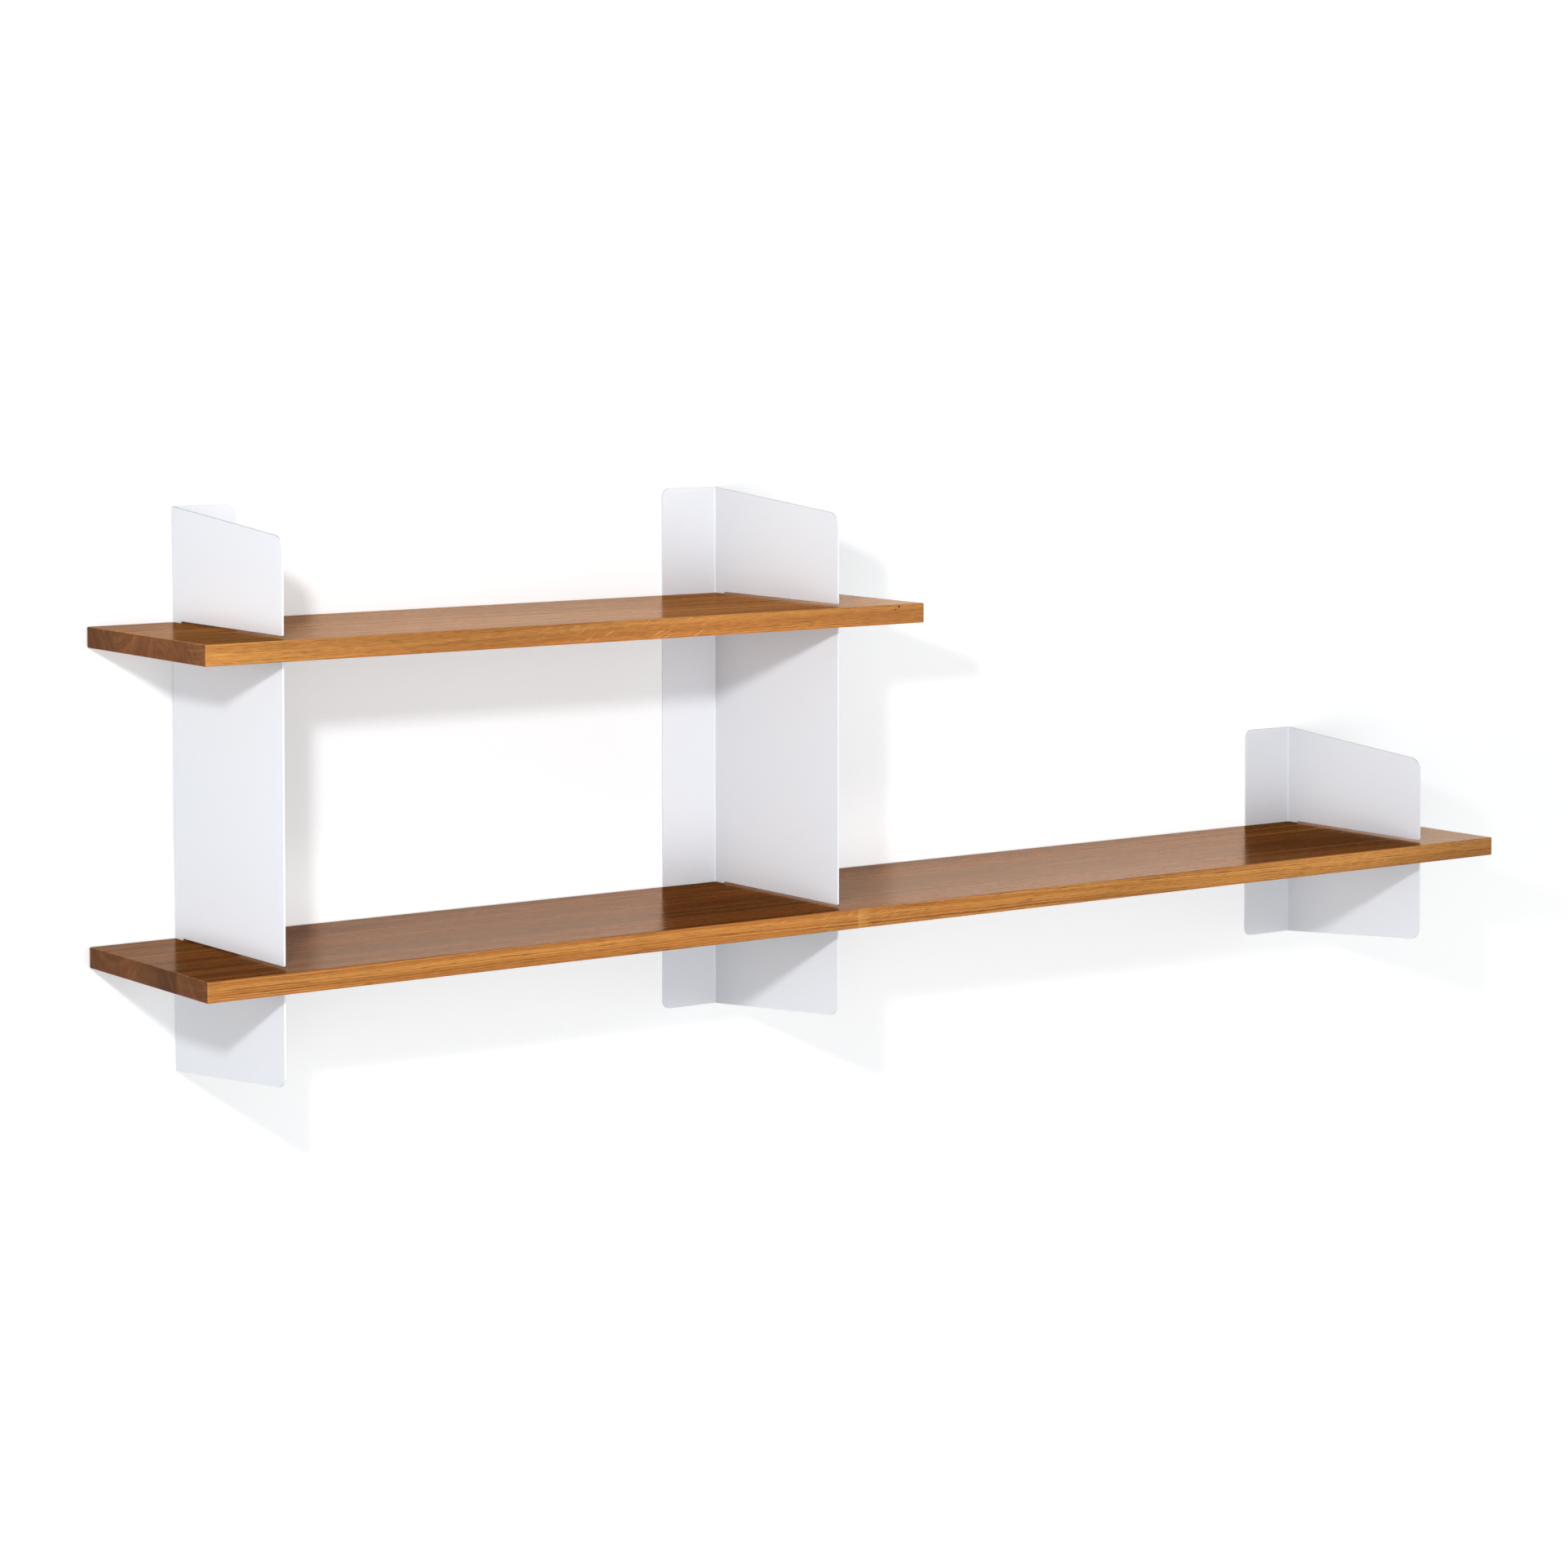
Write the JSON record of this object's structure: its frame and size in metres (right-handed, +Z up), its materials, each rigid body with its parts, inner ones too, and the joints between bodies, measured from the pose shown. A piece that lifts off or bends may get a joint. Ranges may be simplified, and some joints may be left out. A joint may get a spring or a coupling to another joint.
{
  "type": "wall shelf",
  "caption": "Wall shelf of solid oak boards, the upper one half as long, pushed into the notches of folded sheet-steel brackets with tapered panels.",
  "frame": {"origin": "middle of the middle bracket's four screw holes, on the back of its flange", "axes": "+X to the right along the wall, +Y into the wall, +Z up"},
  "size_m": [1.8, 0.265, 0.6],
  "materials": {
    "white_powder_coat": "fine matt powder coat",
    "oak": "oiled, satin"
  },
  "bodies": {
    "wall_brackets": {"left_bracket": "white_powder_coat", "middle_bracket": "white_powder_coat", "right_bracket": "white_powder_coat"},
    "upper_board": {"upper_board_stave_1": "oak", "upper_board_stave_2": "oak", "upper_board_stave_3": "oak", "upper_board_stave_4": "oak"},
    "lower_board": {"lower_board_stave_1": "oak", "lower_board_stave_2": "oak", "lower_board_stave_3": "oak", "lower_board_stave_4": "oak", "lower_board_stave_5": "oak"}
  },
  "joints": [
    {"name": "upper_board_slide", "type": "slide", "parent": "wall_brackets", "child": "upper_board", "axis": [0, -1, 0], "range_m": [0, 0.25]},
    {"name": "lower_board_slide", "type": "slide", "parent": "wall_brackets", "child": "lower_board", "axis": [0, -1, 0], "range_m": [0, 0.25]}
  ]
}
